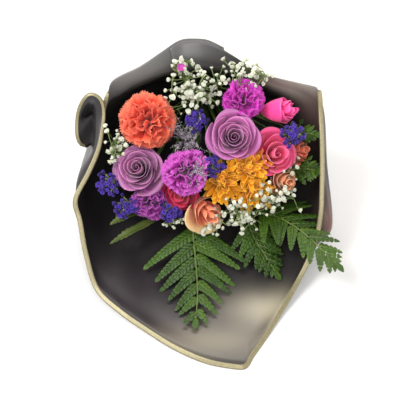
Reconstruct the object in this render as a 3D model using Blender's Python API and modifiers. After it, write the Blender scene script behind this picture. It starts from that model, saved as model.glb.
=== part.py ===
"""A mixed flower bouquet in a square film wrap, lying on its side.

Sizes are in millimetres and turned into metres where a mesh is made. X is across the bouquet, the
mouth of the wrap opens towards -Y and upwards, and the cut stems point towards +Y. Z is up.
"""

import math
import random

import bmesh
import bpy
import numpy as np
from mathutils import Vector

MM = 0.001
GAP = 0.4  # what neighbouring solids keep between them

# The bundle: its waist is where the stems are tied.
WAIST = np.array([0.0, 278.0, 45.0])
SLOPE = math.radians(13)
AXIS = np.array([0.0, -math.cos(SLOPE), math.sin(SLOPE)])
ACROSS = np.array([1.0, 0.0, 0.0])
UPWARD = np.cross(ACROSS, -AXIS)
STATION = 9.0  # spacing of the places where the stems are spread apart
TAIL_LENGTH = 112.0
TAIL_FLARE = 1.25
BUNDLE_RADIUS = 17.0
THROAT_STATIONS = 6  # how many stations the wrap holds in
THROAT_WIDENING = 0.5
STEM_RADIUS = 2.0
SPRIG_RADIUS = 1.2
STEM_SIDES = 6

# How the stems are eased apart between the waist and their heads.
SETTLE_ROUNDS = 400
SMOOTH_ROUNDS = 360  # the last rounds only push, so nothing is pulled back into touch
GATHER = 0.11  # how much of its head's place across the bundle a stem keeps at the waist
LEAN_BOW = 50.0  # how far a stem bows so that it meets its head from behind
SPREAD = 1.12
BLOOM_ROOM = 1.0
THROAT_ROOM = 0.1

# The wrap: one square film sheet gathered at the waist.
FILM = 0.8
SEAM_LAP = 0.035  # how far each free edge passes the seam, as a share of the way round
SEAM_STEP = 3.2
WRAP_AROUND = 50
WRAP_ALONG = 17
BAND_THICKNESS = 1.2
BAND_WIDTH = 5.0
RIBBON_THICKNESS = 1.0
RIBBON_WIDTH = 20.0
BAND_RADIUS = BUNDLE_RADIUS + 2 * GAP
WRAP_WAIST = BAND_RADIUS + BAND_THICKNESS + GAP + FILM + SEAM_STEP / 2
RIBBON_RADIUS = WRAP_WAIST + SEAM_STEP / 2 + 5 * GAP  # the film widens away from the waist

# Focal flowers: where the bloom is, its radius, its depth and the way it faces.
BLOOMS = {
    "carnation_orange": ("carnation", (-64, 84, 154), 33, 42, (-0.15, -0.55, 0.85)),
    "carnation_magenta": ("carnation", (-18, 32, 113), 24, 34, (0.0, -0.7, 0.7)),
    "carnation_upper": ("carnation", (53, 105, 170), 22, 34, (0.2, -0.45, 0.85)),
    "carnation_purple": ("carnation", (-65, 29, 69), 19, 28, (-0.25, -0.9, 0.35)),
    "rose_lavender_right": ("rose", (39, 57, 149), 28, 46, (0.05, -0.5, 0.86)),
    "rose_lavender_left": ("rose", (-75, 44, 109), 26, 40, (-0.15, -0.6, 0.75)),
    "rose_hot_pink": ("rose", (96, 101, 154), 18, 34, (0.8, -0.35, 0.45)),
    "rose_pink_open": ("rose", (88, 58, 119), 20, 34, (0.25, -0.6, 0.75)),
    "rose_crimson": ("rose", (-22, 34, 80), 17, 28, (-0.1, -0.85, 0.5)),
    "rose_peach": ("rose", (6, 20, 62), 20, 38, (0.3, -0.9, 0.1)),
    "rose_salmon": ("rose", (104, 44, 90), 15, 28, (0.45, -0.75, 0.4)),
    "rose_coral": ("rose", (122, 80, 107), 15, 26, (0.6, -0.5, 0.55)),
    "mum_upper": ("mum", (61, 49, 109), 15, 18, (0.15, -0.7, 0.7)),
    "mum_left": ("mum", (27, 36, 95), 15, 18, (0.0, -0.8, 0.6)),
    "mum_lower": ("mum", (66, 35, 80), 15, 18, (0.2, -0.85, 0.45)),
}

# Statice sprigs: the middle of the head, its length, its radius and the way it points.
STATICE = {
    "statice_top": ((-4, 90, 152), 22, 8, (0.0, -0.5, 0.85)),
    "statice_middle": ((16, 42, 116), 18, 6, (0.1, -0.7, 0.7)),
    "statice_right": ((114, 72, 140), 24, 8, (0.5, -0.5, 0.7)),
    "statice_left": ((-114, 41, 89), 26, 8, (-0.6, -0.6, 0.5)),
    "statice_lower_left": ((-94, 26, 62), 24, 7, (-0.3, -0.9, 0.2)),
    "statice_lower": ((-36, 22, 58), 22, 6, (-0.2, -0.95, 0.1)),
}

# Branching sprays: the middle of the head, its reach, its branches, tip radius and direction.
SPRAYS = {
    "babys_breath_top": ((-12, 117, 183), 34, 12, 2.6, (0.0, -0.2, 0.95)),
    "babys_breath_upper": ((64, 130, 187), 24, 7, 2.6, (0.05, -0.25, 0.95)),
    "babys_breath_left": ((-110, 73, 128), 24, 8, 2.6, (-0.5, -0.4, 0.75)),
    "babys_breath_front": ((54, 18, 56), 30, 9, 2.6, (0.3, -0.9, 0.2)),
    "babys_breath_right": ((118, 40, 80), 26, 7, 2.6, (0.6, -0.6, 0.3)),
    "caspia_top": ((-20, 70, 144), 22, 6, 1.4, (0.0, -0.5, 0.8)),
    "caspia_middle": ((-10, 58, 112), 18, 4, 1.4, (0.0, -0.5, 0.7)),
}

# Fern fronds and leaves: where the blade starts, how far it bows upwards, its tip, its half width.
FRONDS = {
    "fern_front": ((-10, 26, 26), 6, (-5, -110, 5), 34, 9),
    "fern_right": ((80, 32, 34), 16, (162, -58, 54), 22, 8),
    "fern_right_inner": ((62, 30, 20), 2, (94, -34, 8), 24, 7),
    "fern_side_upper": ((126, 100, 120), 3, (146, 86, 134), 12, 4),
    "fern_side_lower": ((133, 58, 86), 3, (150, 48, 104), 11, 4),
    "leaf_left": ((-60, 38, 40), 6, (-113, 8, 47), 8, 1),
    "leaf_left_lower": ((-50, 34, 28), 6, (-113, -10, 32), 8, 1),
}
BLADE_THICKNESS = 1.2
BRANCH_RADIUS = 0.6
BRANCH_TRIES = 4000
TIP_SPACING = 3.4
FORK_RADIUS = 2.4


def unit(v):
    v = np.asarray(v, float)
    return v / np.linalg.norm(v)


def material(name, colour, roughness):
    made = bpy.data.materials.new(name)
    made.use_nodes = True
    shader = made.node_tree.nodes["Principled BSDF"]
    shader.inputs["Base Color"].default_value = (*colour, 1.0)
    shader.inputs["Roughness"].default_value = roughness
    return made


def node(name, vertices, faces, look, collection, closed=True):
    """One named object. A closed solid has its faces turned outwards."""
    mesh = bpy.data.meshes.new(name)
    mesh.from_pydata([tuple(float(c) * MM for c in v) for v in vertices], [], faces)
    if closed:
        shell = bmesh.new()
        shell.from_mesh(mesh)
        bmesh.ops.recalc_face_normals(shell, faces=shell.faces)
        shell.to_mesh(mesh)
        shell.free()
    made = bpy.data.objects.new(name, mesh)
    made.data.materials.append(material(name + "_look", *look))
    collection.objects.link(made)
    return made


def ring_faces(rings, sides):
    """Quads between rings of equal count, numbered one ring after the other."""
    faces = []
    for r in range(rings - 1):
        for s in range(sides):
            t = (s + 1) % sides
            faces.append((r * sides + s, r * sides + t, (r + 1) * sides + t, (r + 1) * sides + s))
    return faces


def sweep(points, widths, heights, sides, broadside=None):
    """A closed body along a path, elliptical in section, with flat ends."""
    points = [np.asarray(p, float) for p in points]
    vertices = []
    side = broadside
    for k, point in enumerate(points):
        before = points[max(k - 1, 0)]
        after = points[min(k + 1, len(points) - 1)]
        along = unit(after - before)
        if side is None:
            side = np.cross(along, (0.3, 0.1, 1.0))
        across = unit(side - along * np.dot(side, along))
        upward = np.cross(across, along)
        if broadside is None:
            side = across
        for s in range(sides):
            a = 2 * math.pi * s / sides
            out = across * math.cos(a) * widths[k] + upward * math.sin(a) * heights[k]
            vertices.append(point + out)
    faces = ring_faces(len(points), sides)
    last = (len(points) - 1) * sides
    faces.append(tuple(range(sides)))
    faces.append(tuple(range(last, last + sides)))
    return vertices, faces


# A bloom's rows, from under it to its middle: share of the radius, share of the depth, lobes and
# how deep the lobes are.
ROSE_ROWS = (
    (0.40, -0.44, 5, 0.00), (0.82, -0.20, 5, 0.04), (1.00, 0.14, 5, 0.07), (0.86, 0.20, 5, 0.05),
    (0.76, 0.40, 5, 0.06), (0.58, 0.30, 4, 0.04), (0.48, 0.49, 3, 0.05), (0.30, 0.34, 3, 0.03),
    (0.18, 0.46, 3, 0.02),
)
CARNATION_ROWS = (
    (0.30, -0.46, 12, 0.00), (0.72, -0.26, 12, 0.05), (1.00, 0.02, 12, 0.08), (0.84, 0.26, 12, 0.10),
    (0.58, 0.40, 12, 0.12), (0.30, 0.48, 12, 0.15),
)
MUM_ROWS = (
    (0.30, -0.46, 11, 0.00), (0.95, -0.10, 11, 0.12), (0.90, 0.20, 11, 0.12), (0.50, 0.44, 11, 0.08),
)
ROWS = {"rose": (ROSE_ROWS, 16), "carnation": (CARNATION_ROWS, 24), "mum": (MUM_ROWS, 22)}


def bloom(kind, centre, radius, depth, facing):
    """A turned bloom whose rows are lobed like its petals."""
    rows, sides = ROWS[kind]
    front = unit(facing)
    right = unit(np.cross(front, (0.1, 0.2, 1.0)))
    top = np.cross(right, front)
    vertices = []
    for n, (share, height, lobes, lobe) in enumerate(rows):
        for s in range(sides):
            a = 2 * math.pi * s / sides
            reach = radius * share * (1 - lobe + lobe * math.cos(lobes * a + n * 1.9))
            out = right * math.cos(a) * reach + top * math.sin(a) * reach
            vertices.append(centre + out + front * height * depth)
    faces = ring_faces(len(rows), sides)
    under = len(vertices)
    vertices.append(centre - front * 0.5 * depth)
    vertices.append(centre + front * (rows[-1][1] - 0.05) * depth)
    last = (len(rows) - 1) * sides
    for s in range(sides):
        t = (s + 1) % sides
        faces.append((s, t, under))
        faces.append((last + s, last + t, under + 1))
    return vertices, faces


def settle_blooms():
    """The bloom centres, eased apart until no two touch."""
    names = list(BLOOMS)
    at = {n: np.array(BLOOMS[n][1], float) for n in names}
    for _ in range(200):
        for i, a in enumerate(names):
            for b in names[i + 1 :]:
                apart = at[b] - at[a]
                short = BLOOMS[a][2] + BLOOMS[b][2] + 0.8 - np.linalg.norm(apart)
                if short > 0:
                    push = unit(apart) * short * 0.5
                    at[a] -= push
                    at[b] += push
    return at


def to_bundle(point):
    """How far ahead of the waist a point is, and its place across the bundle."""
    off = np.asarray(point, float) - WAIST
    return float(np.dot(off, AXIS)), np.array([np.dot(off, ACROSS), np.dot(off, UPWARD)])


def from_bundle(ahead, place):
    return WAIST + AXIS * ahead + ACROSS * place[0] + UPWARD * place[1]


def settle_stems(ends, radii, obstacles):
    """Each stem's way from the waist to its head, clear of the other stems and of the blooms."""
    names = list(ends)
    reaches = np.array([to_bundle(ends[n][0])[0] for n in names])
    targets = np.array([to_bundle(ends[n][0])[1] for n in names])
    leans = np.array([to_bundle(WAIST + unit(ends[n][1]))[1] for n in names])
    thick = np.array([radii[n] for n in names])
    ahead = np.arange(0, reaches.max(), STATION)
    inside = ahead[None, :] < reaches[:, None] - STATION * 0.5
    share = np.minimum(ahead[None, :] / reaches[:, None], 1)[..., None]
    place = targets[:, None, :] * (GATHER + (1 - GATHER) * share)
    place -= LEAN_BOW * share**2 * (1 - share) * leans[:, None, :]
    owners = {n: k for k, n in enumerate(names)}
    spread = (thick[:, None] + thick[None, :] + GAP) * SPREAD
    for turn in range(SETTLE_ROUNDS):
        for k in range(len(ahead)):
            here = np.nonzero(inside[:, k])[0]
            apart = place[here, None, k] - place[None, here, k]
            away = np.linalg.norm(apart, axis=2) + np.eye(len(here)) * 1e3
            short = np.maximum(spread[np.ix_(here, here)] - away, 0)
            push = apart / np.maximum(away, 1e-6)[..., None] * short[..., None]
            place[here, k] += 0.4 * push.sum(1)
        for owner, (middle, radius) in obstacles.items():
            depth, across = to_bundle(middle)
            room = (radius + thick[:, None] + BLOOM_ROOM) ** 2 - (ahead[None, :] - depth) ** 2
            apart = place - across
            away = np.maximum(np.linalg.norm(apart, axis=2), 1e-6)
            short = np.where(room > 0, np.sqrt(np.maximum(room, 0)) - away, 0)
            short = np.where(inside & (short > 0), short, 0)
            short[owners[owner]] = 0
            short[:, 0] = 0
            place += apart / away[..., None] * short[..., None] * 0.6
        if turn < SMOOTH_ROUNDS:
            for i in range(len(names)):
                last = int(inside[i].sum())
                run = np.vstack([place[i, :last], targets[i]])
                run[1:-1] += 0.15 * (run[:-2] + run[2:] - 2 * run[1:-1])
                place[i, :last] = run[:-1]
        for k in range(THROAT_STATIONS):
            out = np.maximum(np.linalg.norm(place[:, k], axis=1), 1e-6)
            limit = BUNDLE_RADIUS - thick - THROAT_ROOM + max(0, ahead[k] - STATION) * THROAT_WIDENING
            place[:, k] *= np.minimum(1, limit / out)[:, None]
    paths = {}
    for i, name in enumerate(names):
        last = int(inside[i].sum())
        along = np.append(ahead[:last], reaches[i])
        paths[name] = (along, np.vstack([place[i, :last], targets[i]]))
    return paths


def stem_points(path):
    """The stem from its cut end, through the waist, to its head."""
    ahead, place = path
    points = [from_bundle(-TAIL_LENGTH, place[0] * TAIL_FLARE)]
    last = len(ahead) - 1
    for k in [k for k in range(last) if k % 3 == 0] + [last]:
        points.append(from_bundle(ahead[k], place[k]))
    return points


def closest(a, b, c, d):
    """How near two straight pieces, ab and cd, come to each other."""
    best = 1e9
    for s in np.linspace(0, 1, 7):
        p = a + (b - a) * s
        t = np.clip(np.dot(p - c, d - c) / max(np.dot(d - c, d - c), 1e-9), 0, 1)
        best = min(best, np.linalg.norm(p - c - (d - c) * t))
    return best


def ends_at(piece, place):
    """Whether a straight piece of stem starts or stops at a place."""
    return min(np.linalg.norm(piece[0] - place), np.linalg.norm(piece[1] - place)) < 0.01


def branches(reach, count, tip, facing, root, taken, seed):
    """Branch ends round a spray's head, each with a clear straight way from the fork."""
    rng = random.Random(seed)
    front = unit(facing)
    made = []
    for _ in range(BRANCH_TRIES):
        if len(made) == count:
            break
        way = unit([rng.gauss(0, 1) for _ in range(3)])
        if np.dot(way, front) < 0.05:
            continue
        end = root + (front * 0.35 + way * 0.75) * reach * rng.uniform(0.75, 1.15)
        near = root + (end - root) * 0.25
        if any(closest(near, end, c, d) < r + tip + SPRIG_RADIUS for c, d, r in taken):
            continue
        if any(np.linalg.norm(end - other) < TIP_SPACING * tip for other in made):
            continue
        made.append(end)
    return made


def spray(name, stem, ends, tip, look, collection, cutters):
    """A thin branching spray: its stem and branches made one body at the fork."""
    root = np.asarray(stem[-1], float)
    vertices, faces = sweep(stem, [SPRIG_RADIUS] * len(stem), [SPRIG_RADIUS] * len(stem), 5)
    for end in ends:
        way = unit(end - root)
        points = [root, end - way * tip, end, end + way * tip]
        radii = [BRANCH_RADIUS, BRANCH_RADIUS, tip, tip * 0.6]
        more, sides = sweep(points, radii, radii, 4)
        faces += [tuple(v + len(vertices) for v in face) for face in sides]
        vertices += more
    made = node(name, vertices, faces, look, collection)
    ball = bmesh.new()
    bmesh.ops.create_icosphere(ball, subdivisions=1, radius=FORK_RADIUS * MM)
    bmesh.ops.translate(ball, verts=ball.verts, vec=Vector(root * MM))
    fork_mesh = bpy.data.meshes.new(name + "_fork")
    ball.to_mesh(fork_mesh)
    ball.free()
    fork = bpy.data.objects.new(name + "_fork", fork_mesh)
    fork.hide_render = True
    cutters.objects.link(fork)
    join = made.modifiers.new("Fork", "BOOLEAN")
    join.operation = "UNION"
    join.solver = "EXACT"
    join.use_self = True
    join.object = fork
    return made


# The wrap as closed loops round the bouquet, from the skirt to the free edge. Each loop starts at
# the seam over the top, then goes left, under and right. Its points are (x, y, z).
def ring_loop(ahead, radius, flat=1.0):
    loop = []
    for k in range(12):
        a = 2 * math.pi * k / 12
        across = -math.sin(a) * radius
        up = math.cos(a) * radius * flat
        loop.append(WAIST + AXIS * ahead + ACROSS * across + UPWARD * up)
    return loop


NECK = (
    (0, 208, 136), (-46, 208, 126), (-78, 208, 98), (-90, 205, 62), (-78, 196, 30), (-44, 190, 6),
    (0, 186, 0), (44, 190, 6), (78, 196, 30), (90, 205, 62), (78, 208, 98), (46, 208, 126),
)
SHOULDER = (
    (0, 160, 174), (-76, 156, 154), (-128, 140, 114), (-146, 114, 72), (-128, 82, 22), (-70, 58, 0),
    (14, 42, 0), (78, 58, 0), (132, 86, 22), (152, 114, 72), (137, 142, 116), (78, 156, 156),
)
LIP = (
    (0, 154, 192), (-76, 140, 172), (-134, 120, 146), (-151, 66, 98), (-138, 22, 34), (-84, -26, 3),
    (34, -64, 0), (96, -22, 4), (143, 26, 38), (155, 70, 104), (150, 130, 150), (80, 146, 174),
)
EDGE = (
    (0, 167, 214), (-74, 135, 197), (-130, 106, 174), (-154, 16, 86), (-137, -44, 27), (-78, -117, 4),
    (51, -170, 0), (103, -95, 8), (146, -34, 40), (154, 30, 112), (153, 128, 170), (76, 139, 190),
)


def through(points, t, closed):
    """A smooth curve through the points: t runs from 0 to 1."""
    count = len(points)
    spans = count if closed else count - 1
    x = t * spans
    k = math.floor(x)
    if not closed:
        k = min(max(k, 0), spans - 1)
    f = x - k

    def at(i):
        if closed:
            return np.asarray(points[i % count], float)
        return np.asarray(points[min(max(i, 0), count - 1)], float)

    a, b, c, d = at(k - 1), at(k), at(k + 1), at(k + 2)
    return 0.5 * (
        2 * b + (c - a) * f + (2 * a - 5 * b + 4 * c - d) * f**2 + (3 * b - a - 3 * c + d) * f**3
    )


def wrap_point(loops, centres, around, along):
    """A point of the film, a little further out at the start of the lap than at its end."""
    ladder = [through(loop, around, True) for loop in loops]
    point = through(ladder, along, False)
    share = (around + SEAM_LAP) / (1 + 2 * SEAM_LAP)
    point += unit(point - through(centres, along, False)) * SEAM_STEP * (0.5 - share)
    point[2] = max(point[2], 0.0)
    return point


def wrap(collection):
    loops = [
        ring_loop(-46, 30),
        ring_loop(-14, WRAP_WAIST + 1.5),
        ring_loop(0, WRAP_WAIST),
        ring_loop(12, WRAP_WAIST + 2.5),
        ring_loop(40, 42, 0.86),
        NECK,
        SHOULDER,
        LIP,
        EDGE,
    ]
    centres = [np.mean(np.asarray(loop, float), axis=0) for loop in loops]
    vertices = []
    for j in range(WRAP_ALONG + 1):
        for i in range(WRAP_AROUND + 1):
            around = i / WRAP_AROUND * (1 + 2 * SEAM_LAP) - SEAM_LAP
            vertices.append(wrap_point(loops, centres, around, j / WRAP_ALONG))
    faces = []
    for j in range(WRAP_ALONG):
        for i in range(WRAP_AROUND):
            a = j * (WRAP_AROUND + 1) + i
            faces.append((a, a + 1, a + WRAP_AROUND + 2, a + WRAP_AROUND + 1))
    film = ((0.03, 0.028, 0.03), 0.25)
    made = node("wrap_sheet", vertices, faces, film, collection, closed=False)
    wall = made.modifiers.new("Thickness", "SOLIDIFY")
    wall.thickness = FILM * MM
    wall.offset = -1.0
    return made


def band(name, radius, thickness, width, look, collection):
    """A closed ring round the bundle at its waist."""
    corners = (
        (radius, -width / 2),
        (radius + thickness, -width / 2),
        (radius + thickness, width / 2),
        (radius, width / 2),
    )
    sides = 32
    vertices = []
    for k in range(sides):
        a = 2 * math.pi * k / sides
        out = ACROSS * math.cos(a) + UPWARD * math.sin(a)
        for reach, ahead in corners:
            vertices.append(WAIST + AXIS * ahead + out * reach)
    faces = []
    for k in range(sides):
        for c in range(4):
            d = (c + 1) % 4
            m = (k + 1) % sides
            faces.append((k * 4 + c, k * 4 + d, m * 4 + d, m * 4 + c))
    return node(name, vertices, faces, look, collection)


LOOKS = {
    "carnation_orange": (0.90, 0.16, 0.06),
    "carnation_magenta": (0.45, 0.02, 0.38),
    "carnation_upper": (0.50, 0.02, 0.42),
    "carnation_purple": (0.38, 0.02, 0.36),
    "rose_lavender_right": (0.48, 0.20, 0.44),
    "rose_lavender_left": (0.34, 0.14, 0.34),
    "rose_hot_pink": (0.85, 0.07, 0.28),
    "rose_pink_open": (0.88, 0.10, 0.26),
    "rose_crimson": (0.60, 0.03, 0.09),
    "rose_peach": (0.92, 0.30, 0.15),
    "rose_salmon": (0.75, 0.28, 0.12),
    "rose_coral": (0.85, 0.18, 0.09),
    "mum": (0.85, 0.40, 0.01),
    "statice": (0.05, 0.02, 0.38),
    "babys_breath": (0.80, 0.80, 0.66),
    "caspia": (0.30, 0.24, 0.32),
    "fern": (0.05, 0.16, 0.02),
    "leaf": (0.16, 0.22, 0.04),
    "stem": (0.12, 0.22, 0.05),
    "twine": (0.35, 0.25, 0.12),
    "ribbon": (0.70, 0.58, 0.25),
}


def look_of(name):
    for key, colour in LOOKS.items():
        if name.startswith(key):
            return colour, 0.55
    return LOOKS["stem"], 0.55


def heads(collection, centres):
    """Every bloom, where it settled."""
    for name, (kind, _, radius, depth, facing) in BLOOMS.items():
        vertices, faces = bloom(kind, centres[name], radius, depth, facing)
        node(name, vertices, faces, look_of(name), collection)


CALYX = ((13.0, 1.0), (8.0, 1.6), (4.0, 2.6), (GAP, 3.2))  # from the bloom, share of the stem


def bloom_stem(name, path, centre, depth, facing, collection):
    points = stem_points(path)[:-1]
    radii = [STEM_RADIUS] * len(points)
    under = centre - unit(facing) * depth * 0.5
    for below, share in CALYX:
        points.append(under - unit(facing) * below)
        radii.append(STEM_RADIUS * share)
    vertices, faces = sweep(points, radii, radii, STEM_SIDES)
    return node(name + "_stem", vertices, faces, look_of("stem"), collection)


def statice(name, path, collection):
    """A sprig whose head is a lumpy cluster at the end of its stem."""
    centre, length, radius, facing = STATICE[name]
    front = unit(facing)
    points = stem_points(path)
    radii = [SPRIG_RADIUS] * len(points)
    lumps = (0.75, 1.0, 0.7, 1.0, 0.65, 0.9, 0.4)
    for k, share in enumerate(lumps):
        points.append(np.array(centre) + front * length * ((k + 0.5) / len(lumps) - 0.5))
        radii.append(radius * share)
    vertices, faces = sweep(points, radii, radii, STEM_SIDES)
    return node(name, vertices, faces, look_of(name), collection)


def frond(name, path, collection):
    """A flat serrated blade whose stalk is its stem."""
    start, bow, tip, half, teeth = FRONDS[name]
    start, tip = np.array(start, float), np.array(tip, float)
    points = stem_points(path)
    widths = [SPRIG_RADIUS] * len(points)
    heights = [SPRIG_RADIUS] * len(points)
    steps = 2 * teeth if teeth > 1 else 6
    for k in range(1, steps + 1):
        share = k / steps
        rise = np.array([0.0, 0.0, 4 * bow * share * (1 - share)])
        points.append(start + (tip - start) * share + rise)
        swell = math.sin(math.pi * min(1.0, 0.12 + share * 0.88)) ** 0.7
        notch = 1.0 if teeth == 1 or k % 2 else 0.45
        widths.append(max(0.8, half * swell * notch))
        heights.append(BLADE_THICKNESS / 2)
    across = np.cross(tip - start, (0.0, 0.0, 1.0))
    vertices, faces = sweep(points, widths, heights, STEM_SIDES, unit(across))
    return node(name, vertices, faces, look_of(name), collection)


def centre_on_origin(bouquet, cutters):
    """Moves everything so that the box of the bouquet stands centred on the origin."""
    depsgraph = bpy.context.evaluated_depsgraph_get()
    low, high = np.full(3, 1e9), np.full(3, -1e9)
    for thing in bouquet.objects:
        mesh = thing.evaluated_get(depsgraph).to_mesh()
        points = np.zeros(len(mesh.vertices) * 3)
        mesh.vertices.foreach_get("co", points)
        points = points.reshape(-1, 3)
        low, high = np.minimum(low, points.min(0)), np.maximum(high, points.max(0))
        thing.evaluated_get(depsgraph).to_mesh_clear()
    middle = (low + high) / 2
    for thing in list(bouquet.objects) + list(cutters.objects):
        thing.location = (-middle[0], -middle[1], -low[2])


def build():
    for thing in list(bpy.data.objects):
        bpy.data.objects.remove(thing)
    bouquet = bpy.data.collections.new("flower_bouquet")
    bpy.context.scene.collection.children.link(bouquet)
    cutters = bpy.data.collections.new("cutters")
    bpy.context.scene.collection.children.link(cutters)
    centres = settle_blooms()
    ends, radii, obstacles = {}, {}, {}
    for name, (_, _, radius, depth, facing) in BLOOMS.items():
        ends[name] = (centres[name] - unit(facing) * (depth * 0.5 + CALYX[0][0]), facing)
        radii[name] = STEM_RADIUS
        obstacles[name] = (centres[name], radius)
    for name, (centre, length, radius, facing) in STATICE.items():
        ends[name] = (np.array(centre) - unit(facing) * length * 0.55, facing)
        radii[name] = SPRIG_RADIUS
        obstacles[name] = (np.array(centre, float), max(radius, length * 0.45))
    for name, (centre, reach, _, _, facing) in SPRAYS.items():
        ends[name] = (np.array(centre) - unit(facing) * reach * 0.6, facing)
        radii[name] = SPRIG_RADIUS
    for name, (start, _, tip, _, _) in FRONDS.items():
        ends[name] = (np.array(start, float), np.array(tip) - np.array(start))
        radii[name] = SPRIG_RADIUS
    paths = settle_stems(ends, radii, obstacles)

    heads(bouquet, centres)
    taken = [(c, c + 0.01, r) for c, r in obstacles.values()]
    for name in ends:
        points = stem_points(paths[name])
        taken += [(p, q, radii[name]) for p, q in zip(points, points[1:])]
    for name, (_, _, _, depth, facing) in BLOOMS.items():
        bloom_stem(name, paths[name], centres[name], depth, facing, bouquet)
    for name in STATICE:
        statice(name, paths[name], bouquet)
    for name in FRONDS:
        frond(name, paths[name], bouquet)
    for seed, (name, (_, reach, count, tip, facing)) in enumerate(SPRAYS.items()):
        stem = stem_points(paths[name])
        root = stem[-1]
        others = [t for t in taken if not ends_at(t, root)]
        tips = branches(reach, count, tip, facing, root, others, seed)
        taken += [(root, e, tip) for e in tips]
        spray(name, stem, tips, tip, look_of(name), bouquet, cutters)
    wrap(bouquet)
    band("stem_band", BAND_RADIUS, BAND_THICKNESS, BAND_WIDTH, look_of("twine"), bouquet)
    band("ribbon_band", RIBBON_RADIUS, RIBBON_THICKNESS, RIBBON_WIDTH, look_of("ribbon"), bouquet)
    centre_on_origin(bouquet, cutters)


build()
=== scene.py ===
"""The looks of the wrapped bouquet: film, petals, florets, ferns, stems, light and camera.

Lengths are metres unless a name ends in _MM. Places are first given in the bouquet's own layout,
the one its CAD was drawn in, and ORIGIN carries them into the frame.
"""

import math
import random

import bmesh
import bpy
import numpy as np
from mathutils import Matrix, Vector


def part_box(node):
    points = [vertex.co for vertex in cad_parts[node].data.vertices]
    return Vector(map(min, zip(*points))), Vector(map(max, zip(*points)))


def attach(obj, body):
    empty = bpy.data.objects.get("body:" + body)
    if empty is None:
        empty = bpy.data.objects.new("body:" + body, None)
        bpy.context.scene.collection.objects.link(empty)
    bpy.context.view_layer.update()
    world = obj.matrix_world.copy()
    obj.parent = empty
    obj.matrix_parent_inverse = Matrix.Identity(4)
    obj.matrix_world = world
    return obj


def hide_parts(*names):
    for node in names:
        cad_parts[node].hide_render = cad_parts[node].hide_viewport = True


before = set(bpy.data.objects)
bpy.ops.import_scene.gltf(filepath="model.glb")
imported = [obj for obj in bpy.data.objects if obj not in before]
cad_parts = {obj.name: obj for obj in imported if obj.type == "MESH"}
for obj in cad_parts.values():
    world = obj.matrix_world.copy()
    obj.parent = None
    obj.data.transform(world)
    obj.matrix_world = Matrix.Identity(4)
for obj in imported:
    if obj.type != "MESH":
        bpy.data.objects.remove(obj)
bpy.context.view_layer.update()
SCENE = bpy.context.scene

# The tied waist, and the way the bundle points from it, in the bouquet's own layout.
WAIST = np.array([0.0, 0.278, 0.045])
SLOPE = math.radians(13)
AXIS = np.array([0.0, -math.cos(SLOPE), math.sin(SLOPE)])
ACROSS = np.array([1.0, 0.0, 0.0])
UPWARD = np.cross(ACROSS, -AXIS)


def cad_middle(node):
    low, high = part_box(node)
    return (np.array(low) + np.array(high)) / 2


ORIGIN = cad_middle("stem_band") - WAIST
FULL_TURN = 2 * math.pi
GOLDEN_ANGLE = 2.399963  # sets petals round a middle so that none lies over the one before
ANY_PHASE = 6.28  # random phases and rolls are drawn from 0 to these
ANY_ROLL = 6


def unit(v):
    v = np.asarray(v, float)
    return v / np.maximum(np.linalg.norm(v, axis=-1, keepdims=True), 1e-12)


def metres(place_mm):
    """A place of the layout in millimetres, carried into the frame."""
    return np.array(place_mm, float) / 1000 + ORIGIN


def catmull_rom(corners, f):
    """The smooth curve between the second and the third of four corners."""
    a, b, c, d = corners
    return 0.5 * (2 * b + (c - a) * f + (2 * a - 5 * b + 4 * c - d) * f**2 + (3 * b - a - 3 * c + d) * f**3)


def smooth_line(knots, count):
    """A smooth run of points through the knots."""
    last = len(knots) - 1
    x = np.linspace(0, last, count)
    k = np.minimum(x.astype(int), last - 1)
    return catmull_rom([knots[np.clip(k + n, 0, last)] for n in (-1, 0, 1, 2)], (x - k)[:, None])


def new_object(name, data):
    made = bpy.data.objects.new(name, data)
    SCENE.collection.objects.link(made)
    return made


def new_surface(name, points, faces, slots, materials):
    """A smooth surface, with a material slot for each face."""
    mesh = bpy.data.meshes.new(name)
    mesh.from_pydata(points.tolist(), [], faces)
    mesh.polygons.foreach_set("material_index", slots)
    mesh.polygons.foreach_set("use_smooth", [True] * len(faces))
    for material in materials:
        mesh.materials.append(material)
    return new_object(name, mesh)


def thicken(made, thick, offset):
    wall = made.modifiers.new("Thickness", "SOLIDIFY")
    wall.thickness = thick
    wall.offset = offset
    return wall


def stands_for(made, node):
    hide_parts(node)
    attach(made, "root")


# ---------------------------------------------------------------- camera and light

LOOK_AT = np.array([0.0, 0.0, 0.10]) + ORIGIN
LOOK_DOWN = math.radians(45)
DISTANCE = 0.95
VIEW_WIDTH = 0.48


def camera():
    back = Vector((0.0, -math.cos(LOOK_DOWN), math.sin(LOOK_DOWN)))
    lens = bpy.data.cameras.new("camera")
    lens.angle = 2 * math.atan(VIEW_WIDTH / 2 / DISTANCE)
    lens.clip_start = 0.01
    eye = new_object("camera", lens)
    eye.location = Vector(LOOK_AT) + back * DISTANCE
    eye.rotation_euler = (-back).to_track_quat("-Z", "Y").to_euler()
    SCENE.camera = eye


# Name, place from the point looked at, width and height, watts, tint.
LAMPS = (
    ("key", (-0.9, -0.5, 1.5), (0.6, 0.6), 21, (1, 1, 1)),
    ("front", (0.15, -1.2, 1.1), (0.8, 0.8), 9, (1, 1, 1)),
    ("back_panel", (0.25, 1.05, 1.2), (1.5, 0.45), 11, (1.0, 0.95, 0.87)),
    ("right_panel", (1.4, -0.1, 0.40), (0.9, 0.45), 4, (1, 1, 1)),
    ("left_panel", (-1.4, 0.35, 0.30), (0.9, 0.4), 1.6, (1.0, 0.86, 0.80)),
)


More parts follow.
